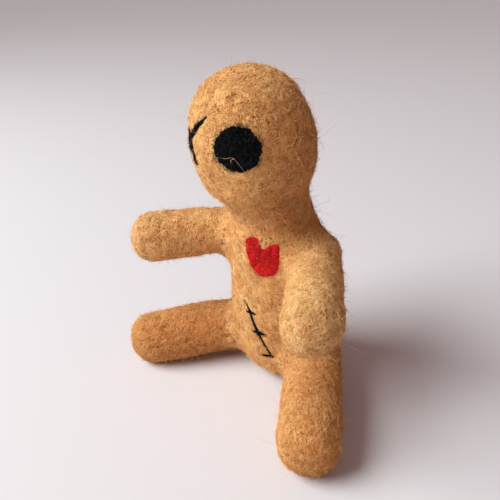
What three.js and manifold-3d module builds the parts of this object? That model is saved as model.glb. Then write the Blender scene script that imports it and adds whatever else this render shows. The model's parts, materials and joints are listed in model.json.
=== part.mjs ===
// A needle-felted voodoo doll that sits with its arms held out, in millimetres.
// The doll faces -Y, its left side is +X and +Z is up. The origin is the middle of the seat's flat.
import * as THREE from "three";
import { mergeVertices } from "three/addons/utils/BufferGeometryUtils.js";
import Module from "manifold-3d";

// Fits
const seatGap = 0.3; // left between a piece and what it is felted to
const restFlat = 0.5; // depth of wool pressed flat where it rests on the table

// Torso, a pear of wool on an axis that leans forward, with a short thick neck
const bellyWidth = 34.5;
const bellyHeight = 19;
const chestWidth = 30.5;
const chestHeight = 51;
const neckWidth = 21.4;
const neckHeight = 61;
const torsoHeight = 62; // seat to the centre of the neck's round top
const torsoLeanAngle = 6.2; // degrees
const torsoDepthShare = 0.9;
const bellyFullness = 3; // exponent of the rounding under the belly

// Head, an egg a little ahead of the neck
const headWidth = 36.2;
const headDepth = 33.6;
const headHeight = 40.8;
const headRise = 18; // from the centre of the neck's round top to the middle of the head
const headForward = 4.9;
const headAside = 3.2; // towards the doll's right
const headNodAngle = 6; // degrees forward
const headTiltAngle = 6.5; // degrees towards the doll's right
const headFullness = 2.2;

// Arms, held out in front
const shoulderHeight = 47.2;
const shoulderAngle = -3; // degrees forward of straight out to the side
const armReach = 37;
const armRootWidth = 14;
const handWidth = 16.2;
const armSink = 2.5; // how far the root's round end lies inside the torso
const armSpreadAngle = 39; // degrees outward of straight ahead
const armLeftDropAngle = 5.5; // degrees below level
const armRightDropAngle = 3;

// Legs, laid on the table
const hipHeight = 11;
const hipAngle = 16;
const legReach = 39.7;
const legRootWidth = 17;
const footWidth = 17.8;
const legSink = 4;
const legLeftSpreadAngle = 39.3;
const legRightSpreadAngle = 34;

// Face, flat black wool on the head. A turn runs from straight ahead towards the doll's left, in degrees,
// and a rise from level.
const eyeWidth = 12.8;
const eyeHeight = 11.9;
const eyeTurnAngle = 32.7;
const eyeRiseAngle = 8.9;
const crossTurnAngle = -27.9;
const crossRiseAngle = 12.3;
const crossLongLength = 20;
const crossLongShift = 1.7; // from the crossing to the middle of the stroke
const crossLongAngle = 43; // degrees up from level, towards the doll's left
const crossShortLength = 11.5;
const crossShortShift = 1.75;
const crossShortAngle = -57;
const crossWidth = 2.4;

// Heart, flat red wool on the left side of the chest
const heartHeight = 13;
const heartWidth = 10.6;
const heartMiddle = 49.2; // above the seat
const heartAngle = 23.6;

// Scar on the belly, a slanting wisp of black wool with three short wisps across it
const scarMiddle = 22.6; // above the seat
const scarAngle = 9.7;
const scarDrop = 19;
const scarRun = 10;
const scarWidth = 0.9;
const stitchTopLength = 5;
const stitchMiddleLength = 5.8;
const stitchBottomLength = 4.4;
const stitchWidth = 0.9;

// Flat wool
const patchThickness = 0.7;
const wispThickness = 0.5;
const patchReach = 6; // how far an outline's column reaches through the surface it is laid on

// Give of the felted roots, in degrees each way
const neckGiveAngle = 8;
const shoulderGiveAngle = 12;
const hipGiveAngle = 12;

// Facets and shape exponents
const torsoSides = 44;
const headSides = 40;
const limbSides = 28;
const ringsPerRound = 7;
const ringsPerFlank = 15;
const ringsPerLimb = 7;
const eyeSides = 28;
const heartSteps = 16;
const wispSteps = 8;
const wispTipShare = 0.2;
const limbFullness = 2.2;

const wasm = await Module();
wasm.setup();

const rad = THREE.MathUtils.degToRad;
const ease = THREE.MathUtils.smoothstep;
const mix = THREE.MathUtils.lerp;

function solidOf(geometry) {
  const bare = new THREE.BufferGeometry();
  bare.setAttribute("position", geometry.getAttribute("position"));
  bare.setIndex(geometry.getIndex());
  const merged = mergeVertices(bare);
  const corners = merged.getIndex().array;
  const kept = [];
  for (let i = 0; i < corners.length; i += 3) {
    const [a, b, c] = corners.slice(i, i + 3);
    if (a !== b && b !== c && c !== a) kept.push(a, b, c);
  }
  const vertProperties = new Float32Array(merged.getAttribute("position").array);
  return new wasm.Manifold(new wasm.Mesh({ numProp: 3, vertProperties, triVerts: new Uint32Array(kept) }));
}

function geometryOf(solid) {
  const { vertProperties, triVerts } = solid.getMesh();
  const geometry = new THREE.BufferGeometry();
  geometry.setAttribute("position", new THREE.BufferAttribute(new Float32Array(vertProperties), 3));
  geometry.setIndex(new THREE.BufferAttribute(new Uint32Array(triVerts), 1));
  geometry.computeVertexNormals();
  return geometry;
}

// A profile of [radius, height] pairs turned round +Z.
function turned(profile, sides) {
  const points = profile.map(([radius, height]) => new THREE.Vector2(radius, height));
  return new THREE.LatheGeometry(points, sides).rotateX(Math.PI / 2);
}

// A round end from its pole out to its rim, as shares of its radius and of its depth.
function roundEndShares(fullness) {
  const shares = [[0, 1]];
  for (let i = 1; i < ringsPerRound; i += 1) {
    const angle = (Math.PI / 2) * (i / ringsPerRound);
    shares.push([Math.sin(angle) ** (2 / fullness), Math.cos(angle) ** (2 / fullness)]);
  }
  shares.push([1, 0]);
  return shares;
}

// Torso

const leanSlope = Math.tan(rad(torsoLeanAngle));
const neckTop = new THREE.Vector3(0, -leanSlope * torsoHeight, torsoHeight);

function torsoRadius(height) {
  if (height < bellyHeight) {
    const under = (bellyHeight - height) / (bellyHeight + restFlat);
    return (bellyWidth / 2) * (1 - under ** bellyFullness) ** (1 / bellyFullness);
  }
  const width = mix(bellyWidth, chestWidth, ease(height, bellyHeight, chestHeight));
  return mix(width, neckWidth, ease(height, chestHeight, neckHeight)) / 2;
}

function torsoDepthShareAt(height) {
  return mix(torsoDepthShare, 1, ease(height, chestHeight, neckHeight));
}

// The torso's surface, moved out by a distance.
function torsoSurface(grown) {
  const under = roundEndShares(bellyFullness).map(([across, along]) => [
    (bellyWidth / 2 + grown) * across,
    bellyHeight - (bellyHeight + restFlat + grown) * along,
  ]);
  const flank = [];
  for (let i = 1; i < ringsPerFlank; i += 1) {
    const height = mix(bellyHeight, torsoHeight, i / ringsPerFlank);
    flank.push([torsoRadius(height) + grown, height]);
  }
  const dome = roundEndShares(2).map(([across, along]) => [
    (neckWidth / 2 + grown) * across,
    torsoHeight + (neckWidth / 2 + grown) * along,
  ]);
  const geometry = turned([...under, ...flank, ...dome.reverse()], torsoSides);
  const places = geometry.getAttribute("position");
  for (let i = 0; i < places.count; i += 1) {
    const height = places.getZ(i);
    const ahead = leanSlope * Math.min(height, torsoHeight);
    places.setY(i, places.getY(i) * torsoDepthShareAt(height) - ahead);
  }
  return geometry;
}

// A point on the torso's flank at a bearing in degrees, from 0 straight ahead to 90 at the doll's left.
function torsoPoint(height, bearing) {
  const radius = torsoRadius(height);
  const across = radius * Math.sin(rad(bearing));
  const ahead = radius * torsoDepthShareAt(height) * Math.cos(rad(bearing));
  return new THREE.Vector3(across, -ahead - leanSlope * height, height);
}

// What lies under the table's surface.
function belowTable() {
  const reach = 2 * (bellyWidth + legReach);
  return solidOf(new THREE.BoxGeometry(2 * reach, 2 * reach, reach).translate(0, 0, -reach / 2));
}

// Hinges, each a point on a piece's root and an axis that lifts the piece for a positive turn

function hinge(point, axis, low, high) {
  return { point, axis: new THREE.Vector3(...axis), low, high };
}

// The piece cut clear of the torso, at rest and at both ends of its hinge.
function clearOfTorso(piece, hinge) {
  let clear = piece.subtract(solidOf(torsoSurface(seatGap)));
  for (const angle of [hinge.low, hinge.high]) {
    const turn = new THREE.Matrix4()
      .makeTranslation(hinge.point)
      .multiply(new THREE.Matrix4().makeRotationAxis(hinge.axis, -rad(angle)))
      .multiply(new THREE.Matrix4().makeTranslation(hinge.point.clone().negate()));
    if (angle !== 0) clear = clear.subtract(solidOf(torsoSurface(seatGap / 2).applyMatrix4(turn)));
  }
  return clear;
}

// Head

const neckHinge = hinge(neckTop, [1, 0, 0], -neckGiveAngle, neckGiveAngle);
const headTurn = new THREE.Matrix4()
  .makeTranslation(neckTop.clone().add(new THREE.Vector3(-headAside, -headForward, headRise)))
  .multiply(new THREE.Matrix4().makeRotationY(-rad(headTiltAngle)))
  .multiply(new THREE.Matrix4().makeRotationX(rad(headNodAngle)));

// The head's surface, moved out by a distance.
function headSurface(grown) {
  const round = roundEndShares(headFullness);
  const lower = round.map(([across, along]) => [across, -along]);
  const profile = [...lower, ...round.slice(0, -1).reverse()];
  return turned(profile, headSides)
    .scale(headWidth / 2 + grown, headDepth / 2 + grown, headHeight / 2 + grown)
    .applyMatrix4(headTurn);
}

// Limbs

// A wool sausage along +Z. Its root's round end sinks below the origin, and its far end swells.
function sausage(rootWidth, endWidth, reach, sink) {
  const rootRadius = rootWidth / 2;
  const endRadius = endWidth / 2;
  const shares = roundEndShares(limbFullness);
  const root = shares.map(([across, along]) => [rootRadius * across, -sink - rootRadius * along]);
  const end = shares.map(([across, along]) => [endRadius * across, reach - endRadius * (1 - along)]);
  const side = [];
  for (let i = 1; i < ringsPerLimb; i += 1) {
    const share = i / ringsPerLimb;
    side.push([mix(rootRadius, endRadius, ease(share, 0, 1)), mix(-sink, reach - endRadius, share)]);
  }
  return turned([...root, ...side, ...end.reverse()], limbSides);
}

// The sausage laid from a point on the torso along a direction.
function laid(geometry, from, direction) {
  const turn = new THREE.Quaternion().setFromUnitVectors(new THREE.Vector3(0, 0, 1), direction);
  return geometry.applyQuaternion(turn).translate(from.x, from.y, from.z);
}

// Side is 1 for the doll's left and -1 for its right.
function arm(side, drop) {
  const shoulder = torsoPoint(shoulderHeight, side * (90 - shoulderAngle));
  const level = Math.cos(rad(drop));
  const across = side * Math.sin(rad(armSpreadAngle));
  const ahead = Math.cos(rad(armSpreadAngle));
  const direction = new THREE.Vector3(across * level, -ahead * level, -Math.sin(rad(drop)));
  const root = hinge(shoulder, [-ahead, -across, 0], -shoulderGiveAngle, shoulderGiveAngle);
  const wool = solidOf(laid(sausage(armRootWidth, handWidth, armReach, armSink), shoulder, direction));
  return { hinge: root, solid: clearOfTorso(wool, root) };
}

function leg(side, spread) {
  const hip = torsoPoint(hipHeight, side * (90 - hipAngle));
  const across = side * Math.sin(rad(spread));
  const ahead = Math.cos(rad(spread));
  const drop = hipHeight - footWidth / 2 + restFlat;
  const run = Math.sqrt((legReach - footWidth / 2) ** 2 - drop ** 2);
  const direction = new THREE.Vector3(across * run, -ahead * run, -drop).normalize();
  const root = hinge(hip, [-ahead, -across, 0], 0, hipGiveAngle);
  const wool = solidOf(laid(sausage(legRootWidth, footWidth, legReach, legSink), hip, direction));
  return { hinge: root, solid: clearOfTorso(wool, root).subtract(belowTable()) };
}

// Flat wool: an outline, drawn with x towards the doll's left and y up, carried onto a surface

// The place of an outline, whose z points along the outward normal.
function placeOn(point, normal) {
  const across = new THREE.Vector3(0, 0, 1).cross(normal).normalize();
  const upward = normal.clone().cross(across);
  return new THREE.Matrix4().makeBasis(across, upward, normal).setPosition(point);
}

function placeOnTorso(height, bearing) {
  const across = torsoDepthShareAt(height) * Math.sin(rad(bearing));
  const normal = new THREE.Vector3(across, -Math.cos(rad(bearing)), 0).normalize();
  return placeOn(torsoPoint(height, bearing), normal);
}

function placeOnHead(longitude, latitude) {
  const half = new THREE.Vector3(headWidth, headDepth, headHeight).divideScalar(2);
  const level = Math.cos(rad(latitude));
  const rise = Math.sin(rad(latitude));
  const turn = rad(longitude);
  const outward = new THREE.Vector3(level * Math.sin(turn), -level * Math.cos(turn), rise);
  const fullness = (level ** headFullness + Math.abs(rise) ** headFullness) ** (-1 / headFullness);
  const point = outward.multiplyScalar(fullness).multiply(half);
  const normal = point.clone().divide(half).divide(half).normalize();
  return headTurn.clone().multiply(placeOn(point, normal));
}

// The wool under an outline that lies between two distances above a surface.
function layer(surface, outline, place, low, high) {
  const settings = { depth: 2 * patchReach, bevelEnabled: false };
  const column = new THREE.ExtrudeGeometry(new THREE.Shape(outline), settings).translate(0, 0, -patchReach);
  const wool = solidOf(column.applyMatrix4(place));
  return wool.intersect(solidOf(surface(high))).subtract(solidOf(surface(low)));
}

function patch(surface, outline, place) {
  return layer(surface, outline, place, seatGap, seatGap + patchThickness);
}

// The outline of a wisp along a curve, fullest in its middle, with a margin all along it.
function wispOutline(curve, width, margin) {
  const left = [];
  const right = [];
  for (let i = 0; i <= wispSteps; i += 1) {
    const share = i / wispSteps;
    const middle = curve.getPoint(share);
    const along = curve.getTangent(share);
    const half = (width / 2) * mix(wispTipShare, 1, Math.sin(Math.PI * share)) + margin;
    left.push(new THREE.Vector2(middle.x - along.y * half, middle.y + along.x * half));
    right.unshift(new THREE.Vector2(middle.x + along.y * half, middle.y - along.x * half));
  }
  return [...left, ...right];
}

function wisp(surface, curve, width, place) {
  return layer(surface, wispOutline(curve, width, 0), place, seatGap, seatGap + wispThickness);
}

// A wisp that steps over another one, which lies on the surface.
function wispOver(surface, curve, width, place, under, underWidth) {
  const crest = 2 * (seatGap + wispThickness);
  const outline = wispOutline(curve, width, 0);
  const covered = wispOutline(under, underWidth, seatGap);
  const stepped = wispOutline(under, underWidth, seatGap + wispThickness);
  const low = layer(surface, outline, place, seatGap, seatGap + wispThickness);
  const full = layer(surface, outline, place, seatGap, crest);
  const high = full.intersect(layer(surface, stepped, place, 0, crest));
  return low.add(high).subtract(layer(surface, covered, place, 0, crest - wispThickness));
}

// A straight curve of a length and slant, whose middle lies a little way along it from a point.
function straight(through, length, slant, aside) {
  const along = new THREE.Vector2(Math.cos(rad(slant)), Math.sin(rad(slant)));
  const middle = through.clone().addScaledVector(along, aside);
  const start = middle.clone().addScaledVector(along, -length / 2);
  return new THREE.LineCurve(start, middle.clone().addScaledVector(along, length / 2));
}

// A smooth curve through points that are shares of half a width and half a height.
function curveThrough(shares, width, height) {
  return new THREE.SplineCurve(shares.map(([x, y]) => new THREE.Vector2((x * width) / 2, (y * height) / 2)));
}

// Face

const roundEye = new THREE.EllipseCurve(0, 0, eyeWidth / 2, eyeHeight / 2).getPoints(eyeSides).slice(1);
const crossPlace = placeOnHead(crossTurnAngle, crossRiseAngle);
const crossMiddle = new THREE.Vector2(0, 0);
const crossLong = straight(crossMiddle, crossLongLength, crossLongAngle, crossLongShift);
const crossShort = straight(crossMiddle, crossShortLength, crossShortAngle, crossShortShift);

// Heart, drawn from its notch round the left lobe to its tip and back up the right lobe

const notchShare = [0.04, 0.4];
const tipShare = [0, -1];
const leftTopShares = [[-0.08, 0.58], [-0.18, 0.79], [-0.34, 0.9], [-0.74, 0.86], [-1, 0.58]];
const leftFlankShares = [[-0.89, -0.08], [-0.6, -0.66]];
const leftLobeShares = [notchShare, ...leftTopShares, ...leftFlankShares, tipShare];
const rightLobeShares = [tipShare, [0.78, -0.72], [1, -0.1], [0.99, 0.48], [0.72, 0.7], notchShare];
const heartOutline = [leftLobeShares, rightLobeShares].flatMap((shares) =>
  curveThrough(shares, heartWidth, heartHeight).getPoints(heartSteps).slice(1),
);

// Scar

const scarPlace = placeOnTorso(scarMiddle, scarAngle);
const seamShares = [[-1, 1], [-0.32, 0.64], [0.1, 0], [0.6, -0.5], [1, -1]];
const seam = curveThrough(seamShares, scarRun, scarDrop);

// Each stitch's slant in degrees, its share of the way down the seam, and how far it lies off to one side.
const stitches = {
  top: { length: stitchTopLength, slant: 9, seamShare: 0.25, asideShare: 0 },
  middle: { length: stitchMiddleLength, slant: 4, seamShare: 0.525, asideShare: 0.09 },
  bottom: { length: stitchBottomLength, slant: 6, seamShare: 0.955, asideShare: -0.3 },
};

function stitch({ length, slant, seamShare, asideShare }) {
  const curve = straight(seam.getPoint(seamShare), length, slant, asideShare * length);
  return wispOver(torsoSurface, curve, stitchWidth, scarPlace, seam, scarWidth);
}

// The doll put together

const doll = new THREE.Group();

function piece(group, name, solid, colour) {
  const origin = group.position;
  const geometry = geometryOf(solid).translate(-origin.x, -origin.y, -origin.z);
  const material = new THREE.MeshStandardMaterial({ color: colour, roughness: 0.95, metalness: 0 });
  const mesh = new THREE.Mesh(geometry, material);
  mesh.name = name;
  group.add(mesh);
}

function hinged(hinge) {
  const group = new THREE.Group();
  group.position.copy(hinge.point);
  doll.add(group);
  return group;
}

const tanWool = 0xc08a4e;
const blackWool = 0x0d0c0d;
const redWool = 0xb5161c;

piece(doll, "torso", solidOf(torsoSurface(0)).subtract(belowTable()), tanWool);
piece(doll, "heart", patch(torsoSurface, heartOutline, placeOnTorso(heartMiddle, heartAngle)), redWool);
piece(doll, "scar_seam", wisp(torsoSurface, seam, scarWidth, scarPlace), blackWool);
for (const [name, sizes] of Object.entries(stitches)) {
  piece(doll, `scar_stitch_${name}`, stitch(sizes), blackWool);
}

const head = hinged(neckHinge);
piece(head, "head", clearOfTorso(solidOf(headSurface(0)), neckHinge), tanWool);
piece(head, "eye_round", patch(headSurface, roundEye, placeOnHead(eyeTurnAngle, eyeRiseAngle)), blackWool);
piece(head, "eye_cross_long", wisp(headSurface, crossLong, crossWidth, crossPlace), blackWool);
const overCross = wispOver(headSurface, crossShort, crossWidth, crossPlace, crossLong, crossWidth);
piece(head, "eye_cross_short", overCross, blackWool);

const limbs = {
  arm_left: arm(1, armLeftDropAngle),
  arm_right: arm(-1, armRightDropAngle),
  leg_left: leg(1, legLeftSpreadAngle),
  leg_right: leg(-1, legRightSpreadAngle),
};
for (const [name, limb] of Object.entries(limbs)) piece(hinged(limb.hinge), name, limb.solid, tanWool);

export default doll;
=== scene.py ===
import json
import math

import bmesh
import bpy
import numpy as np
from mathutils import Matrix, Vector, noise
from mathutils.bvhtree import BVHTree
from mathutils.kdtree import KDTree


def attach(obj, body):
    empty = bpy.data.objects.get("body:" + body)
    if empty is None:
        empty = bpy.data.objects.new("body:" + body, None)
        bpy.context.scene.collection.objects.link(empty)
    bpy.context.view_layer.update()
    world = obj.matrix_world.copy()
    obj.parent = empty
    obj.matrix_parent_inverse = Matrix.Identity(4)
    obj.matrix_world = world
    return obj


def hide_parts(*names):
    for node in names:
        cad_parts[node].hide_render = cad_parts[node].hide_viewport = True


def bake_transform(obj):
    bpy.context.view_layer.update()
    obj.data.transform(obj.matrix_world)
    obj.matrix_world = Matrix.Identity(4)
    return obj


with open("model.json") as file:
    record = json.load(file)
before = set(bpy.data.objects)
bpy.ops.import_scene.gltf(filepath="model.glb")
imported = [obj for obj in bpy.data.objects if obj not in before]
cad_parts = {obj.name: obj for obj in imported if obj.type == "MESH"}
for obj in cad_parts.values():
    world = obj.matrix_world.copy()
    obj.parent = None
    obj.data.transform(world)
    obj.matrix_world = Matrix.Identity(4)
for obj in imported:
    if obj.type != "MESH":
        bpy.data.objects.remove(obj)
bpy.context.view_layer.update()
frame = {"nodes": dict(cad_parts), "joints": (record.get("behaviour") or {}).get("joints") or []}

# Lumps of wool
# Torso, head, arms and legs are lumps of tan wool, each felted firm with a barbed needle and then felted to
# the torso at its root. The needle draws one skin over every root, so the lumps are laid together here as one
# body, which is smoothed over where two of them meet.

mm = 0.001
lumps = ["torso", "head", "arm_left", "arm_right", "leg_left", "leg_right"]
swelling = 2.4 * mm  # by which the lumps are swollen until they fill the creases, and then drawn in again
weld = 0.001 * mm
body_voxel = 0.85 * mm
root_rounds = [(7 * mm, 10), (4.5 * mm, 12), (2.5 * mm, 12)]  # how near a root, and how often it is smoothed
neck_reach = 7.5 * mm
neck_rounds = 22
body_rounds = 3


def finished(mesh, modifiers):
    worker = bpy.data.objects.new("worker", mesh)
    bpy.context.scene.collection.objects.link(worker)
    for kind, settings in modifiers:
        modifier = worker.modifiers.new(kind, kind)
        for key, value in settings.items():
            setattr(modifier, key, value)
    dressed = worker.evaluated_get(bpy.context.evaluated_depsgraph_get())
    made = bpy.data.meshes.new_from_object(dressed)
    bpy.data.objects.remove(worker)
    return made


def mesh_of(shape, name):
    made = bpy.data.meshes.new(name)
    shape.to_mesh(made)
    shape.free()
    return made


def piece_of(mesh, name):
    made = bpy.data.objects.new(name, mesh)
    bpy.context.scene.collection.objects.link(made)
    mesh.name = name
    mesh.shade_smooth()
    return made


def cad_shape(*nodes):
    shape = bmesh.new()
    for node in nodes:
        shape.from_mesh(frame["nodes"][node].data)
    bmesh.ops.remove_doubles(shape, verts=shape.verts, dist=weld)
    return shape


def cad_surface(node):
    shape = cad_shape(node)
    tree = BVHTree.FromBMesh(shape)
    shape.free()
    return tree


def drop_inner_shells(shape):
    left = set(shape.verts)
    shells = []
    while left:
        shell, edge = [], [left.pop()]
        while edge:
            vertex = edge.pop()
            shell.append(vertex)
            for link in vertex.link_edges:
                other = link.other_vert(vertex)
                if other in left:
                    left.remove(other)
                    edge.append(other)
        shells.append(shell)
    shells.sort(key=len)
    for shell in shells[:-1]:
        bmesh.ops.delete(shape, geom=shell, context="VERTS")


def smooth(shape, vertices, rounds):
    for _ in range(rounds):
        bmesh.ops.smooth_vert(
            shape, verts=vertices, factor=0.5, use_axis_x=True, use_axis_y=True, use_axis_z=True)


together = [
    ("DISPLACE", {"strength": swelling, "mid_level": 0}),
    ("REMESH", {"mode": "VOXEL", "voxel_size": body_voxel}),
]
body = bmesh.new()
body.from_mesh(finished(mesh_of(cad_shape(*lumps), "lumps"), together))
drop_inner_shells(body)
body_vertices = list(body.verts)
smooth(body, body_vertices, body_rounds)
body.normal_update()
for vertex in body_vertices:
    vertex.co -= vertex.normal * swelling
surfaces = [cad_surface(lump) for lump in lumps]
distances = np.array([[surface.find_nearest(v.co)[3] for surface in surfaces] for v in body_vertices])
nearest = distances.argsort(axis=1)[:, :2]
root_distance = np.take_along_axis(distances, nearest[:, 1:], axis=1)[:, 0]
at_neck = (nearest < 2).all(axis=1)  # the torso and the head are the first two lumps
for reach, rounds in root_rounds:
    smooth(body, [v for v, far in zip(body_vertices, root_distance) if far < reach], rounds)
at_neck &= root_distance < neck_reach
smooth(body, [v for v, near in zip(body_vertices, at_neck) if near], neck_rounds)
for vertex in body_vertices:
    vertex.co.z = max(vertex.co.z, 0)
body.verts.index_update()
for face in body.faces:
    face.material_index = int(nearest[[v.index for v in face.verts], 0].min())
    face.smooth = True
body_mesh = finished(mesh_of(body, "body"), [("SUBSURF", {"levels": 1, "render_levels": 1})])

# Skin of the lumps
# The needle leaves the skin a little lumpy and dented. Each lump's skin is parted from the one body where its
# own wool ends, runs on a little under its neighbour's there, and is closed inside.

lump_height = 0.5 * mm
lump_width = 10 * mm
dent_height = 0.3 * mm
dent_width = 2.4 * mm
under_rings = 4
under_sink = 0.03 * mm
inside_depth = 1.2 * mm


def noise_shift(place, width, seed):
    return noise.noise(place / width + Vector((seed, 2 * seed, 3 * seed)))


skin = bmesh.new()
skin.from_mesh(body_mesh)
smooth_surface = BVHTree.FromBMesh(skin)
for vertex in skin.verts:
    place = vertex.co.copy()
    rise = noise_shift(place, lump_width, 0) * lump_height + noise_shift(place, dent_width, 1) * dent_height
    vertex.co += vertex.normal * rise
    vertex.co.z = max(vertex.co.z, 0)
skin_surface = BVHTree.FromBMesh(skin)
skin_mesh = mesh_of(skin, "skin")
skin_faces = np.array([list(face.vertices) for face in skin_mesh.polygons])
skin_lump = np.array([face.material_index for face in skin_mesh.polygons])
skin_points = np.array([vertex.co for vertex in skin_mesh.vertices])


def touched(faces):
    """Which vertices the faces touch."""
    mask = np.zeros(len(skin_points), bool)
    mask[skin_faces[faces]] = True
    return mask


def parted(index, name):
    own = skin_lump == index
    reached = touched(own)
    ring_of = np.zeros(len(skin_points), int)
    for ring in range(1, under_rings + 1):
        own = reached[skin_faces].any(axis=1)
        wider = touched(own)
        ring_of[wider & ~reached] = ring
        reached = wider
    shape = bmesh.new()
    shape.from_mesh(skin_mesh)
    for vertex, ring in zip(shape.verts, ring_of):
        if ring:
            vertex.co -= vertex.normal * under_sink * int(ring) ** 2
    bmesh.ops.delete(shape, geom=[face for face, kept in zip(shape.faces, own) if not kept], context="FACES")
    rim = [edge for edge in shape.edges if edge.is_boundary]
    grown = bmesh.ops.extrude_edge_only(shape, edges=rim)["geom"]
    for vertex in [item for item in grown if isinstance(item, bmesh.types.BMVert)]:
        vertex.co -= smooth_surface.find_nearest(vertex.co)[1] * inside_depth
    bmesh.ops.holes_fill(shape, edges=[edge for edge in shape.edges if edge.is_boundary], sides=0)
    bmesh.ops.recalc_face_normals(shape, faces=shape.faces)
    for face in shape.faces:
        face.material_index = 0
    return piece_of(mesh_of(shape, name), name)


skins = {lump: parted(index, lump + "_skin") for index, lump in enumerate(lumps)}
for lump, piece in skins.items():
    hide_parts(lump)

# Bodies of the pieces
# A felted root bends over a short length, but here what lies on the head rides on the head's body, and all
# else stays where it lies.

root_margin = 0.5 * mm
joints = {joint["child"]: Vector(joint["pos_m"]) for joint in frame["joints"]}


def edge_points(index):
    """The skin's points where a lump's wool meets another's."""
    own = skin_lump == index
    return skin_points[touched(own) & touched(~own)]


head_edge = min(edge_points(lumps.index("head"))[:, 2]) - root_margin


def bend(piece, lump):
    if lump == "head":
        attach(piece, "head")
        return
    if lump == "torso":
        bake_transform(piece)
        return
    index = lumps.index(lump)
    middle = skin_points[touched(skin_lump == index)].mean(axis=0)
    root = joints[lump]
    along = (Vector(middle) - root).normalized()
    past = max((edge_points(index) - np.array(root)) @ np.array(along)) + root_margin
    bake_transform(piece)


for lump, piece in skins.items():
    bend(piece, lump)

# Colour of the wool
# The wool is painted darker down in the needle's pits and hollows, as painted shade, and paler along the
# single fibres that curl over its skin. The tan wool is painted a warmer, deeper tone to the doll's left and
# back, the side turned from the lamp, as painted shade, and deeper in its right leg; its arms and hands are
# painted paler, as painted light.

curl_depth = 0.28 * mm
warp_width = 3 * mm
warp_depth = 1.6 * mm  # by which the pattern of the fibres is bent
wide_curl_width = 1.5 * mm
close_curl_width = 0.8 * mm
mottle_width = 5 * mm
grain_width = 0.45 * mm
pitted_width = 8 * mm  # of the patches with more pits and of those with fewer
hollow_width = 2.2 * mm
pit_width = 0.7 * mm
painted_shade_ends = (-16 * mm, 14 * mm)  # where the painted shade of the side turned from the lamp starts and is full, to the left and back
limb_ends = (10 * mm, 20 * mm)  # where the arms' painted light and the right leg's deeper tone start and are full, to either side
hand_ends = (24 * mm, 38 * mm)  # and the hands' stronger painted light
under_arm_ends = (26 * mm, 33 * mm)  # heights
over_arm_ends = (56 * mm, 62 * mm)
over_leg_ends = (24 * mm, 30 * mm)
glow_reach = 2 * mm
glow_spread = (1.0, 0.5, 0.35)  # red light goes deepest


class Shade:
    """A value in a material's nodes. Sums, differences and products of values add Math nodes."""

    def __init__(self, tree, socket=None):
        self.tree = tree
        self.socket = socket

    def node(self, kind, settings=None, values=None, output=0):
        made = self.tree.nodes.new("ShaderNode" + kind)
        for key, value in (settings or {}).items():
            setattr(made, key, value)
        for key, value in (values or {}).items():
            if isinstance(value, Shade):
                self.tree.links.new(value.socket, made.inputs[key])
            else:
                made.inputs[key].default_value = value
        return Shade(self.tree, made.outputs[output])

    def math(self, operation, first, second):
        return self.node("Math", {"operation": operation}, {0: first, 1: second})

    def __add__(self, other):
        return self.math("ADD", self, other)

    def __radd__(self, other):
        return self.math("ADD", other, self)

    def __sub__(self, other):
        return self.math("SUBTRACT", self, other)

    def __rsub__(self, other):
        return self.math("SUBTRACT", other, self)

    def __mul__(self, other):
        return self.math("MULTIPLY", self, other)

    def __rmul__(self, other):
        return self.math("MULTIPLY", other, self)

    def __abs__(self):
        return self.math("ABSOLUTE", self, 0)

    def ease(self, low, high):
        """0 below low, 1 above high and smooth between."""
        ends = {"Value": self, "From Min": low, "From Max": high}
        return self.node("MapRange", {"interpolation_type": "SMOOTHSTEP"}, ends)

    def mixed(self, first, second):
        """A colour from the first to the second as the value goes from 0 to 1."""
        return self.node("Mix", {"data_type": "RGBA"}, {0: self, 6: first, 7: second}, output=2)

    def spots(self, place, width, detail):
        return self.node("TexNoise", None, {"Vector": place, "Scale": 1 / width, "Detail": detail})


def tone(red, green, blue):
    """A colour from the 0 to 255 that a screen shows."""
    linear = [c / 255 / 12.92 if c < 11 else ((c / 255 + 0.055) / 1.055) ** 2.4 for c in (red, green, blue)]
    return (*linear, 1)


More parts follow.
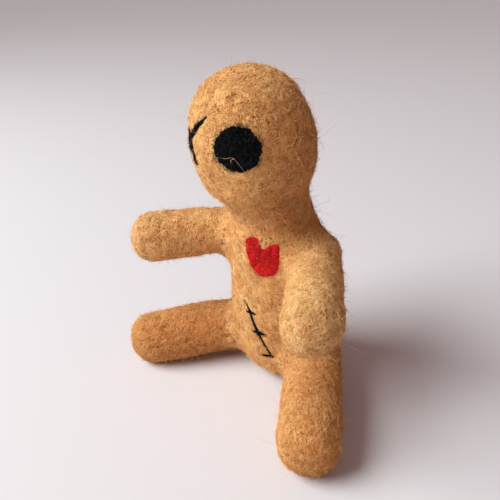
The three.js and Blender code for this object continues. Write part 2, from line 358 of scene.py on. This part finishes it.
def surface_material(name, pit_shade, middle, light, pale, deeper_tone, sheen, glow):
    """Felted wool: painted dark in its pits as painted shade, mottled from middle to light, with pale fibres
    curled over it.

    Deeper_tone is the painted shade of the side turned from the lamp and also the right leg's deeper tone,
    and the glow is the share of the light that spreads inside the wool."""
    material = bpy.data.materials.new(name)
    material.use_nodes = True
    tree = material.node_tree
    shader = tree.nodes["Principled BSDF"]
    start = Shade(tree)
    place = start.node("TexCoord", output=3)
    bent = start.node("TexNoise", None, {"Vector": place, "Scale": 1 / warp_width, "Detail": 1.0}, output=1)
    bent = start.node("VectorMath", {"operation": "SCALE"}, {0: bent, "Scale": warp_depth})
    curled = start.node("VectorMath", {"operation": "ADD"}, {0: place, 1: bent})
    wide = abs(start.spots(curled, wide_curl_width, 0.6) - 0.5)
    close = abs(start.spots(curled, close_curl_width, 0.6) - 0.5)
    fibres = (1 - wide.ease(0.0, 0.035)) * 0.7 + (1 - close.ease(0.0, 0.05)) * 0.6
    left, behind, up = (start.node("SeparateXYZ", None, {0: place}, output=axis) for axis in range(3))
    # Painted shade: the side turned from the lamp, to the doll's left and back
    painted_shade = (left + behind).ease(*painted_shade_ends)
    # Painted light: the arms, and more the hands, are painted paler, standing in for the bright light the
    # wool catches there
    painted_light_arms = abs(left).ease(*limb_ends) * up.ease(*under_arm_ends) * (1 - up.ease(*over_arm_ends))
    painted_light_hands = painted_light_arms * abs(left).ease(*hand_ends)
    right_leg = (0 - left).ease(*limb_ends) * (1 - up.ease(*over_leg_ends))
    mottle = start.spots(place, mottle_width, 3.0).ease(0.36, 0.64)
    grain = start.spots(curled, grain_width, 3.0).ease(0.3, 0.7)
    pitted = start.spots(place, pitted_width, 1.0).ease(0.36, 0.62)
    hollow_shade = start.spots(curled, hollow_width, 2.0).ease(0.46, 0.7)
    pits = start.spots(curled, pit_width, 1.5).ease(0.53, 0.7) * (pitted * 0.6 + 0.4)
    colour = (mottle * 0.5 + grain * 0.5).mixed(middle, light)
    # Painted shade to the left and back, but not on the arms, and a deeper tone on the right leg
    colour = ((painted_shade * (1 - painted_light_arms) + right_leg) * 0.5).mixed(colour, deeper_tone)
    # Painted light on the arms and hands
    colour = (fibres * 0.3 + painted_light_arms * 0.15 + painted_light_hands * 0.35).mixed(colour, pale)
    # Painted shade: the pits, the hollows and the low grain are painted dark
    colour = ((1 - grain) * 0.26 + hollow_shade * 0.4 + pits * 0.6).ease(0.0, 1.1).mixed(colour, pit_shade)
    height = fibres * 0.6 + grain - pits * 1.4
    bump = start.node("Bump", None, {"Strength": 1.0, "Distance": curl_depth, "Height": height})
    tree.links.new(colour.socket, shader.inputs["Base Color"])
    tree.links.new(bump.socket, shader.inputs["Normal"])
    shader.inputs["Roughness"].default_value = 0.92
    shader.inputs["Specular IOR Level"].default_value = 0.08
    shader.inputs["Sheen Weight"].default_value = sheen
    shader.inputs["Sheen Roughness"].default_value = 0.5
    shader.inputs["Sheen Tint"].default_value = pale
    shader.inputs["Subsurface Weight"].default_value = glow
    shader.inputs["Subsurface Radius"].default_value = glow_spread
    shader.inputs["Subsurface Scale"].default_value = glow_reach
    return material


def fibre_material(name, dark, pale):
    """Loose fibres, from dark to pale across their map and dimmer at their ends."""
    material = bpy.data.materials.new(name)
    material.use_nodes = True
    tree = material.node_tree
    shader = tree.nodes["Principled BSDF"]
    start = Shade(tree)
    spot = start.node("UVMap", {"uv_map": "OFBake"})
    shade, along = (start.node("SeparateXYZ", None, {0: spot}, output=axis) for axis in range(2))
    middle = 1 - abs(along - 0.5).ease(0.3, 0.5) * 0.35
    colour = (shade * middle).mixed(dark, pale)
    tree.links.new(colour.socket, shader.inputs["Base Color"])
    shader.inputs["Roughness"].default_value = 0.75
    shader.inputs["Specular IOR Level"].default_value = 0.15
    return material


# Of each wool's tones, the first is the painted shade of the pits and the fifth the painted shade of the side
# turned from the lamp, also laid on the right leg
tan_skin = surface_material(
    "tan_wool_skin", tone(160, 68, 10), tone(238, 166, 98), tone(252, 192, 124),
    tone(255, 210, 150), tone(202, 108, 42), 0.3, 0.3)
tan_fibre = fibre_material("tan_wool_fibre", tone(218, 140, 72), tone(255, 206, 142))
for piece in skins.values():
    piece.data.materials.clear()
    piece.data.materials.append(tan_skin)

# Black and red wool on the face, chest and belly
# The eye, the strokes of the crossed eye, the scar with its stitches and the heart are pinches of dyed wool,
# needled nearly flush with the skin. Each is cut to its CAD node's outline, with a ragged edge.

patch_cell = 0.17 * mm
patch_root = 0.45 * mm  # how far its underside lies under the skin
ragged_width = 0.65 * mm
edge_rounds = 1
growth_turns = 8
knot_growth = 0.4 * mm  # by which the seam is wider where a stitch crosses it
knot_reach = 3 * mm
away = 8 * mm  # from where rays are cast down to the skin
pinch_dent_width = 0.9 * mm
pinch_dent_height = 0.3 * mm
rim_sink = 0.03 * mm


def patch_place(node):
    """Where a node lies on the body, with x across, y up and z outward, and the corners of its solid."""
    corners = [Vector(vertex.co) for vertex in frame["nodes"][node].data.vertices]
    middle = sum(corners, Vector()) / len(corners)
    point, normal, *_ = smooth_surface.find_nearest(middle)
    across = Vector((0, 0, 1)).cross(normal).normalized()
    turn = Matrix((across, normal.cross(across), normal)).transposed().to_4x4()
    return Matrix.Translation(point) @ turn, corners


def wool_patch(node, rise, roll, growth, ragged, knots):
    """A flat pinch of wool, a growth wider than a node's outline, rising over a roll at its edge.

    It is wider at its knots."""
    place, corners = patch_place(node)
    outward = place.col[2].xyz
    local = [place.inverted() @ corner for corner in corners]
    margin = growth + knot_growth + 2 * ragged
    half = [max(abs(corner[axis]) for corner in local) + margin for axis in (0, 1)]
    cells = [round(2 * size / patch_cell) for size in half]
    solid = cad_surface(node)

    def inside(x, y):
        at = place @ Vector((x, y, 0))
        shift = Vector((noise_shift(at, ragged_width, 11), noise_shift(at, ragged_width, 12), 0)) * ragged
        knot = max([1 - (at - middle).length / knot_reach for middle in knots] + [0])
        for turn in range(growth_turns):
            angle = 2 * math.pi * turn / growth_turns
            reach = Vector((math.cos(angle), math.sin(angle), 0)) * (growth + knot * knot_growth)
            start = place @ (Vector((x, y, away)) + shift + reach)
            if solid.ray_cast(start, -outward, 2 * away)[0] is not None:
                return True
        return False

    shape = bmesh.new()
    bmesh.ops.create_grid(shape, x_segments=cells[0], y_segments=cells[1], size=1)
    bmesh.ops.scale(shape, vec=(*half, 1), verts=shape.verts)
    gone = [vertex for vertex in shape.verts if not inside(vertex.co.x, vertex.co.y)]
    bmesh.ops.delete(shape, geom=gone, context="VERTS")
    loose = [vertex for vertex in shape.verts if not vertex.link_faces]
    bmesh.ops.delete(shape, geom=loose, context="VERTS")
    rim = [vertex for vertex in shape.verts if vertex.is_boundary]
    smooth(shape, rim, edge_rounds)
    edge = KDTree(len(rim))
    for index, vertex in enumerate(rim):
        edge.insert(vertex.co, index)
    edge.balance()
    upper = bmesh.ops.extrude_face_region(shape, geom=list(shape.faces))["geom"]
    upper = {item for item in upper if isinstance(item, bmesh.types.BMVert)}
    for vertex in shape.verts:
        share = min(edge.find(vertex.co)[2] / roll, 1)
        start = place @ (vertex.co + Vector((0, 0, away)))
        foot, _, _, _ = skin_surface.ray_cast(start, -outward, 2 * away)
        foot = foot or place @ vertex.co
        if vertex in upper:
            dents = noise_shift(foot, pinch_dent_width, 4) * pinch_dent_height
            height = (rise + dents) * math.sqrt(share) - rim_sink
            vertex.co = foot + outward * height
        else:
            vertex.co = foot - outward * patch_root
    bmesh.ops.recalc_face_normals(shape, faces=shape.faces)
    return piece_of(mesh_of(shape, node + "_wool"), node + "_wool")


# Here too the first tone is the painted shade of the pits and the fifth the painted shade to the left and
# back
black_skin = surface_material(
    "black_wool_skin", tone(1, 1, 1), tone(2, 2, 3), tone(4, 4, 5), tone(14, 13, 16),
    tone(2, 2, 3), 0.005, 0)
red_skin = surface_material(
    "red_wool_skin", tone(136, 2, 8), tone(228, 22, 28), tone(246, 44, 44), tone(250, 100, 92),
    tone(226, 20, 26), 0.2, 0)

# Each pinch's lump, slot and skin, and how far it rises, rolls at its edge, widens and is ragged
trims = {
    "eye_round": ("head", "black_wool", black_skin, 0.35 * mm, 0.8 * mm, 0.1 * mm, 0.5 * mm),
    "eye_cross_long": ("head", "black_wool", black_skin, 0.3 * mm, 0.4 * mm, 0.05 * mm, 0.3 * mm),
    "eye_cross_short": ("head", "black_wool", black_skin, 0.45 * mm, 0.4 * mm, 0.05 * mm, 0.3 * mm),
    "scar_seam": ("torso", "black_wool", black_skin, 0.25 * mm, 0.25 * mm, 0.1 * mm, 0.2 * mm),
    "scar_stitch_top": ("torso", "black_wool", black_skin, 0.3 * mm, 0.25 * mm, 0.12 * mm, 0.15 * mm),
    "scar_stitch_middle": ("torso", "black_wool", black_skin, 0.3 * mm, 0.25 * mm, 0.12 * mm, 0.15 * mm),
    "scar_stitch_bottom": ("torso", "black_wool", black_skin, 0.3 * mm, 0.25 * mm, 0.12 * mm, 0.15 * mm),
    "heart": ("torso", "red_wool", red_skin, 0.3 * mm, 0.8 * mm, 0.2 * mm, 0.35 * mm),
}
stitches = ["scar_stitch_top", "scar_stitch_middle", "scar_stitch_bottom"]
trim_pieces = {}
for node, (lump, slot, material, rise, roll, growth, ragged) in trims.items():
    knots = [patch_place(stitch)[0].translation for stitch in stitches] if node == "scar_seam" else []
    piece = wool_patch(node, rise, roll, growth, ragged, knots)
    piece.data.materials.append(material)
    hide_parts(node)
    bend(piece, lump)
    trim_pieces[node] = piece

# Loose tan fibres
# Single fibres of the lumps' own wool lie curled on the skin, tucked in at both ends, and some of them stand
# off it at one end.

strand_steps = 6
strand_sides = 3
strand_shades = 32
most_triangles = 190_000  # in one piece
tuck = 0.1 * mm  # by which a strand's ends lie under the skin
table_gap = 0.08 * mm
lowest_root = 0.4 * mm  # above the table
swirl_width = 7 * mm
trim_reach = 12 * mm  # from a trim's middle, past which no line is tested for it
trim_above = 3 * mm


def strand_template(steps):
    """One straight strand along +Z, of unit radius and length, closed at both ends."""
    shape = bmesh.new()
    bmesh.ops.create_circle(shape, cap_ends=True, segments=strand_sides, radius=1)
    for step in range(steps):
        top = max(shape.faces, key=lambda face: face.calc_center_median().z)
        grown = bmesh.ops.extrude_face_region(shape, geom=[top])["geom"]
        moved = [item for item in grown if isinstance(item, bmesh.types.BMVert)]
        bmesh.ops.translate(shape, vec=(0, 0, 1 / steps), verts=moved)
        if step:
            bmesh.ops.delete(shape, geom=[top], context="FACES_ONLY")
    bmesh.ops.recalc_face_normals(shape, faces=shape.faces)
    layer = shape.loops.layers.uv.new("OFBake")
    for face in shape.faces:
        for loop in face.loops:
            loop[layer].uv = (loop.vert.co.x / 2 + 0.5, loop.vert.co.z)
    return mesh_of(shape, "strand")


def unit(vectors):
    return vectors / np.linalg.norm(vectors, axis=-1, keepdims=True)


def strands(name, lines, radii, shades):
    """Strands along the lines, each a row of points, with a radius and a shade from 0 to 1 each."""
    steps = lines.shape[1] - 1
    template = strand_template(steps)
    corners = np.array([vertex.co for vertex in template.vertices])
    ring = np.rint(corners[:, 2] * steps).astype(int)
    mesh = finished(template, [("ARRAY", {"count": len(lines), "use_relative_offset": False})])
    along = unit(np.gradient(lines, axis=1))
    aside = np.cross(along, along[:, [0]] + np.array([0.31, 0.52, 0.79]))
    aside = unit(aside + 1e-9)
    outward = np.cross(along, aside)
    taper = 1 - 0.8 * np.abs(np.linspace(-1, 1, steps + 1)) ** 4
    thick = radii[:, None, None] * taper[None, ring, None]
    across = corners[:, 0, None] * aside[:, ring] + corners[:, 1, None] * outward[:, ring]
    points = lines[:, ring] + thick * across
    mesh.vertices.foreach_set("co", points.reshape(-1).astype(np.float32))
    layer = mesh.uv_layers["OFBake"]
    spots = np.zeros(2 * len(layer.data), np.float32)
    layer.data.foreach_get("uv", spots)
    spots = spots.reshape(len(lines), -1, 2)
    column = np.clip((shades * strand_shades).astype(int), 0, strand_shades - 1)
    spots[:, :, 0] = (column[:, None] + 0.15 + 0.7 * spots[:, :, 0]) / strand_shades
    layer.data.foreach_set("uv", spots.reshape(-1))
    mesh.update()
    return piece_of(mesh, name)


def on_ground(ground, points):
    """The ground under each point, and its normal there."""
    feet, normals = np.empty_like(points), np.empty_like(points)
    for index, point in enumerate(points):
        feet[index], normals[index], *_ = ground.find_nearest(Vector(point))
    return feet, normals


def laid_lines(rng, roots, heading, lengths, lift, loose):
    """Lines that wander over the skin from their roots. A loose one has its far end off the skin."""
    count = len(roots)
    place, normal = on_ground(skin_surface, roots)
    ahead = heading
    turn = rng.normal(0, 1.3, count)
    waves = rng.uniform(0.8, 2.2, count)
    phase = rng.uniform(0, 1, count)
    crimp = rng.uniform(0.3, 1.3, count)
    lines = [place - normal * tuck]
    for step in range(1, strand_steps + 1):
        share = step / strand_steps
        ahead = unit(ahead - (ahead * normal).sum(axis=1, keepdims=True) * normal)
        across = np.cross(normal, ahead)
        angle = (turn * (share - 0.5) + crimp * np.sin(2 * math.pi * (waves * share + phase)))[:, None]
        stride = (lengths / strand_steps)[:, None]
        place = place + (np.cos(angle) * ahead + np.sin(angle) * across) * stride
        place, normal = on_ground(skin_surface, place)
        tucked = -tuck + (lift + tuck) * math.sin(math.pi * share) ** 0.7
        free = lift * 2.2 * share**1.4
        lines.append(place + normal * np.where(loose, free, tucked)[:, None])
    lines = np.stack(lines, axis=1)
    lines[:, :, 2] = np.maximum(lines[:, :, 2], table_gap)
    return lines


def sown(rng, index, per_square_mm):
    """Random places on a lump's skin, above the table."""
    faces = skin_faces[skin_lump == index]
    a, b, c, d = (skin_points[faces[:, corner]] for corner in range(4))
    areas = np.linalg.norm(np.cross(c - a, d - b), axis=1) / 2
    count = int(areas.sum() / mm**2 * per_square_mm)
    picked = rng.choice(len(faces), count, p=areas / areas.sum())
    u, v = rng.uniform(size=(2, count, 1))
    a, b, c, d = a[picked], b[picked], c[picked], d[picked]
    points = (a * (1 - u) + b * u) * (1 - v) + (d * (1 - u) + c * u) * v
    return points[points[:, 2] > lowest_root]


def swirl(rng, points, along, stray):
    """Headings that agree with their neighbours', drawn towards a direction."""
    field = np.array([noise.noise_vector(Vector(point) / swirl_width) for point in points])
    return unit(field) + np.array(along) + rng.normal(0, stray, points.shape)


under_trims = []
for node in trims:
    place, _ = patch_place(node)
    under_trims.append((place, cad_surface(node)))


def covers_trim(lines):
    """Which lines run over a trim."""
    over = np.zeros(len(lines), bool)
    for place, solid in under_trims:
        outward = place.col[2].xyz
        middle = np.array(place.translation)
        close = np.flatnonzero((np.linalg.norm(lines - middle, axis=2) < trim_reach).any(axis=1))
        for index in close:
            for point in lines[index]:
                start = Vector(point) + outward * trim_above
                if solid.ray_cast(start, -outward, 2 * trim_above)[0] is not None:
                    over[index] = True
                    break
    return over


fibres_per_square_mm = 1.4
fibre_lengths = (2.2, 5.0)  # millimetres
loose_share = 0.2
over_trim_share = 0.025  # of the fibres that would cross a trim
shade_width = 4 * mm
painted_arm_light_and_leg_tone = {"arm_left": 0.3, "arm_right": 0.1, "leg_right": -0.15}  # by which fibres are painted paler on the arms, as painted light, and darker on the right leg
for index, lump in enumerate(lumps):
    rng = np.random.default_rng(100 + index)
    roots = sown(rng, index, fibres_per_square_mm)
    count = len(roots)
    along = (0, 0, 0)
    if lump in joints and lump != "head":
        middle = skin_points[touched(skin_lump == index)].mean(axis=0)
        along = unit(middle - np.array(joints[lump])) * 0.8
    heading = swirl(rng, roots, along, 0.5)
    lengths = rng.uniform(*fibre_lengths, count) * mm
    loose = rng.uniform(size=count) < loose_share
    lift = rng.gamma(2.0, 0.06, count) * mm + 0.06 * mm
    lift = np.where(loose, lift * 1.7, lift)
    lines = laid_lines(rng, roots, heading, lengths, lift, loose)
    radii = (0.024 + rng.gamma(2.0, 0.009, count)) * mm
    patches = np.array([noise.noise(Vector(root) / shade_width) for root in roots])
    # The fibres too are painted darker on the side turned from the lamp, as painted shade, and paler on the
    # arms, as painted light
    painted_shade = np.clip((roots[:, 0] + roots[:, 1] - painted_shade_ends[0]) / (painted_shade_ends[1] - painted_shade_ends[0]), 0, 1)
    shades = rng.normal(0.55, 0.25, count) + 0.35 * patches - 0.3 * painted_shade + painted_arm_light_and_leg_tone.get(lump, 0)
    shades = shades.clip(0.02, 0.98)
    kept = ~covers_trim(lines) | (rng.uniform(size=count) < over_trim_share)
    lines, radii, shades = lines[kept], radii[kept], shades[kept]
    parts = math.ceil(len(lines) * (2 * strand_sides * strand_steps + 2) / most_triangles)
    for part in range(parts):
        name = f"{lump}_fibres_{part + 1}"
        piece = strands(name, lines[part::parts], radii[part::parts], shades[part::parts])
        piece.data.materials.append(tan_fibre)
        bend(piece, lump)

# Stray hairs
# Here and there a hair of a lump's wool has slipped the needle and curls in the air, in loose tufts, and
# short fuzz stands between them. One long hair waves off the left side of the head, and one lies across the
# round eye.

hair_steps = 16
fuzz_steps = 6
hairs_per_square_mm = 0.13
fuzz_per_square_mm = 0.6
hair_radius = 0.03 * mm
longest_hair = 9.5  # millimetres
longest_fuzz = 4.0
tuft_width = 9 * mm
hair_tuck = 0.15 * mm
least_lift = 0.12 * mm  # off the skin at a hair's root
more_lift = 0.25 * mm  # and by which this grows to its end
skin_reach = 1.5 * mm  # within which a hair is kept off the skin
hair_table_gap = 0.1 * mm
eye_hair_lift = 0.75 * mm
long_hair = [(11.6, -3.6, 82.8), (13.2, -2.4, 82.2), (13.9, -1.2, 83.1), (14.4, 0.4, 84.4),
             (14.8, 1.1, 84.4), (14.7, 1.8, 85.6), (15.3, 2.8, 86.1), (16.4, 3.7, 85.8)]  # millimetres
eye_hair = [(-0.66, -0.34), (-0.4, -0.38), (-0.12, -0.24), (0.1, -0.5), (0.36, -0.86)]  # of half the eye
corner_cuts = 3


def turned_about(vectors, axes, angles):
    """The vectors turned about unit axes."""
    cos, sin = np.cos(angles)[:, None], np.sin(angles)[:, None]
    level = (vectors * axes).sum(axis=1, keepdims=True) * axes
    return level + (vectors - level) * cos + np.cross(axes, vectors) * sin


def hair_lines(rng, roots, lengths, steps):
    """Lines that leave the skin at a slant and curl."""
    count = len(roots)
    place, normal = on_ground(skin_surface, roots)
    aside = unit(np.cross(normal, rng.normal(size=(count, 3))))
    ahead = unit(normal * rng.uniform(0.1, 0.9, (count, 1)) + aside)
    axes = unit(np.cross(ahead, rng.normal(size=(count, 3))))
    curl = rng.normal(0, 2.2, count)
    wave = rng.uniform(1.0, 5.0, count)
    waves = rng.uniform(1.0, 3.5, count)
    phase = rng.uniform(0, 2 * math.pi, count)
    lines = [place - normal * hair_tuck]
    for step in range(1, steps + 1):
        share = step / steps
        turn = (curl + wave * np.cos(2 * math.pi * waves * share + phase)) / steps * 2
        ahead = turned_about(ahead, axes, turn)
        axes = unit(axes + rng.normal(0, 0.12, (count, 3)))
        place = place + ahead * (lengths / steps)[:, None]
        foot, normal = on_ground(skin_surface, place)
        under = ((place - foot) * normal).sum(axis=1)
        lifted = np.maximum(least_lift + more_lift * share - under, 0)
        near = np.linalg.norm(place - foot, axis=1) < skin_reach
        place = place + normal * np.where(near, lifted, 0)[:, None]
        lines.append(place)
    lines = np.stack(lines, axis=1)
    lines[:, :, 2] = np.maximum(lines[:, :, 2], hair_table_gap)
    return lines


def eased(points):
    """A smooth line of hair_steps steps along a few points, whose corners are cut again and again."""
    points = np.array(points)
    for _ in range(corner_cuts):
        first, second = points[:-1], points[1:]
        cut = np.stack([first * 0.75 + second * 0.25, first * 0.25 + second * 0.75], axis=1)
        points = np.concatenate([points[:1], cut.reshape(-1, 3), points[-1:]])
    along = np.concatenate([[0], np.linalg.norm(np.diff(points, axis=0), axis=1).cumsum()])
    even = np.linspace(0, along[-1], hair_steps + 1)
    return np.stack([np.interp(even, along, points[:, axis]) for axis in range(3)], axis=1)


def over_eye(shares):
    """Points on the round eye."""
    place, corners = patch_place("eye_round")
    half = [max(abs((place.inverted() @ corner)[axis]) for corner in corners) for axis in (0, 1)]
    spots = [place @ Vector((x * half[0], y * half[1], 0)) for x, y in shares]
    feet, normals = on_ground(skin_surface, np.array(spots))
    return feet + normals * eye_hair_lift


def hair_piece(name, lump, lines, rng):
    radii = rng.uniform(0.5, 1.2, len(lines)) * hair_radius
    shades = rng.uniform(0.6, 0.98, len(lines))
    piece = strands(name, lines, radii, shades)
    piece.data.materials.append(tan_fibre)
    bend(piece, lump)


for index, lump in enumerate(lumps):
    rng = np.random.default_rng(200 + index)
    roots = sown(rng, index, hairs_per_square_mm)
    tufts = np.array([noise.noise(Vector(root) / tuft_width + Vector((7, 7, 7))) for root in roots])
    roots = roots[rng.uniform(size=len(roots)) < 0.5 + 1.6 * tufts]
    lengths = (3.0 + rng.gamma(2.0, 1.4, len(roots))).clip(max=longest_hair) * mm
    lines = hair_lines(rng, roots, lengths, hair_steps)
    lines = lines[~covers_trim(lines)]
    if lump == "head":
        lines = np.concatenate([lines, [eased(np.array(long_hair) * mm), eased(over_eye(eye_hair))]])
    hair_piece(f"{lump}_hairs", lump, lines, rng)
    roots = sown(rng, index, fuzz_per_square_mm)
    lengths = (1.0 + rng.gamma(2.0, 0.5, len(roots))).clip(max=longest_fuzz) * mm
    lines = hair_lines(rng, roots, lengths, fuzz_steps)
    hair_piece(f"{lump}_fuzz", lump, lines[~covers_trim(lines)], rng)

# Loose black and red fibres
# The pinches of dyed wool have loose fibres too. They curl over the discs and run along the strokes, and
# their ends reach past the outline, which leaves it ragged.

trim_fibres_per_square_mm = 7.0
fibre_rise = {"eye_round": 0.5 * mm, "heart": 0.45 * mm}
stroke_rise = 0.38 * mm
disc_fibre_lengths = (0.8, 2.2)  # millimetres
stroke_fibre_lengths = (0.8, 2.4)


def sown_on(rng, piece, outward, per_square_mm):
    """Random places on a pinch of wool's outer side."""
    mesh = piece.data
    mesh.calc_loop_triangles()
    triangles = [triangle.vertices for triangle in mesh.loop_triangles]
    corners = np.array([[mesh.vertices[index].co for index in triangle] for triangle in triangles])
    cross = np.cross(corners[:, 1] - corners[:, 0], corners[:, 2] - corners[:, 0])
    facing = cross @ np.array(outward) > 0.5 * np.linalg.norm(cross, axis=1)
    corners, areas = corners[facing], np.linalg.norm(cross[facing], axis=1) / 2
    count = int(areas.sum() / mm**2 * per_square_mm)
    picked = rng.choice(len(corners), count, p=areas / areas.sum())
    shares = rng.dirichlet((1, 1, 1), count)
    return (corners[picked] * shares[:, :, None]).sum(axis=1)


def long_way(piece):
    """The direction in which a piece is longest."""
    points = np.array([vertex.co for vertex in piece.data.vertices])
    return np.linalg.svd(points - points.mean(axis=0), full_matrices=False)[2][0]


black_fibre = fibre_material("black_wool_fibre", tone(2, 2, 3), tone(84, 82, 90))
red_fibre = fibre_material("red_wool_fibre", tone(214, 16, 24), tone(252, 96, 88))
trim_fibres = {"black_wool": black_fibre, "red_wool": red_fibre}
for number, (node, (lump, slot, *_)) in enumerate(trims.items()):
    rng = np.random.default_rng(300 + number)
    place, _ = patch_place(node)
    outward = place.col[2].xyz
    roots = sown_on(rng, trim_pieces[node], outward, trim_fibres_per_square_mm)
    count = len(roots)
    if node in fibre_rise:
        heading = swirl(rng, roots, (0, 0, 0), 0.8)
        lengths = rng.uniform(*disc_fibre_lengths, count) * mm
        rise = fibre_rise[node]
    else:
        heading = long_way(trim_pieces[node]) * rng.choice((-1, 1), (count, 1))
        heading = heading + rng.normal(0, 0.25, (count, 3))
        lengths = rng.uniform(*stroke_fibre_lengths, count) * mm
        rise = stroke_rise
    loose = rng.uniform(size=count) < loose_share
    lift = rise + rng.uniform(-0.1, 0.15, count) * mm
    lines = laid_lines(rng, roots, heading, lengths, lift, loose)
    radii = rng.uniform(0.025, 0.05, count) * mm
    shades = rng.beta(1.0, 5.0, count)
    piece = strands(node + "_fibres", lines, radii, shades)
    piece.data.materials.append(trim_fibres[slot])
    bend(piece, lump)

# Studio
# A pale table that runs out of sight, a wide lamp and the soft light of a window, both high on the left of
# the picture in a dim warm room, and the camera two hands' breadths from the doll, as in the photograph.

table_size = 8
table_tone = tone(219, 207, 208)
lamp_width = 0.62
lamp_distance = 0.8
lamp_azimuth = -120
lamp_elevation = 41
lamp_power = 6.8
window_strength = 1.8
window_angle = 44
lamp_tone = (0.84, 0.98, 1.0)
room_tone = (1.0, 0.78, 0.76, 1)
room_strength = 0.27
backdrop_strength = 0.9
camera_azimuth = 48.135
camera_elevation = 27.407
camera_distance = 182.846 * mm
camera_aside = -12.404 * mm
camera_height = 43.343 * mm
camera_roll = -1.63
focal_pixels = 582.7
picture_pixels = 500
film_width = 36

bpy.ops.mesh.primitive_plane_add(size=table_size)
floor = bpy.context.object
floor.name = "table"
floor_material = bpy.data.materials.new("table")
floor_material.use_nodes = True
floor_shader = floor_material.node_tree.nodes["Principled BSDF"]
floor_shader.inputs["Base Color"].default_value = table_tone
floor_shader.inputs["Roughness"].default_value = 0.9
floor.data.materials.append(floor_material)

lamp_level = math.cos(math.radians(lamp_elevation))
lamp_turn = math.radians(lamp_azimuth)
lamp_from = Vector((math.cos(lamp_turn) * lamp_level, math.sin(lamp_turn) * lamp_level,
                    math.sin(math.radians(lamp_elevation))))
lamp_facing = lamp_from.to_track_quat("Z", "Y").to_matrix().to_4x4()
for name, kind, strength in (("lamp", "AREA", lamp_power), ("window", "SUN", window_strength)):
    lamp = bpy.data.objects.new(name, bpy.data.lights.new(name, kind))
    bpy.context.scene.collection.objects.link(lamp)
    lamp.data.energy = strength
    lamp.data.color = lamp_tone
    lamp.matrix_world = Matrix.Translation(lamp_from * lamp_distance) @ lamp_facing
    if kind == "AREA":
        lamp.data.shape = "DISK"
        lamp.data.size = lamp_width
    else:
        lamp.data.angle = math.radians(window_angle)

world = bpy.data.worlds.new("room")
bpy.context.scene.world = world
world.use_nodes = True
seen = Shade(world.node_tree).node("LightPath")
backdrop = world.node_tree.nodes["Background"]
world.node_tree.links.new(seen.mixed(room_tone, table_tone).socket, backdrop.inputs["Color"])
strength = room_strength + seen * (backdrop_strength - room_strength)
world.node_tree.links.new(strength.socket, backdrop.inputs["Strength"])

azimuth, elevation = math.radians(camera_azimuth), math.radians(camera_elevation)
level = Vector((math.sin(azimuth), -math.cos(azimuth), 0))
back = level * math.cos(elevation) + Vector((0, 0, math.sin(elevation)))
right = Vector((math.cos(azimuth), math.sin(azimuth), 0))
target = Vector((0, 0, camera_height)) + right * camera_aside
facing = Matrix((right, back.cross(right), back)).transposed().to_4x4()
camera = bpy.data.objects.new("camera", bpy.data.cameras.new("camera"))
bpy.context.scene.collection.objects.link(camera)
camera.data.sensor_width = film_width
camera.data.lens = film_width * focal_pixels / picture_pixels
camera.data.clip_start = 10 * mm
turned = Matrix.Rotation(math.radians(camera_roll), 4, "Z")
camera.matrix_world = Matrix.Translation(target + back * camera_distance) @ facing @ turned
bpy.context.scene.camera = camera
bpy.context.scene.view_settings.view_transform = "Standard"
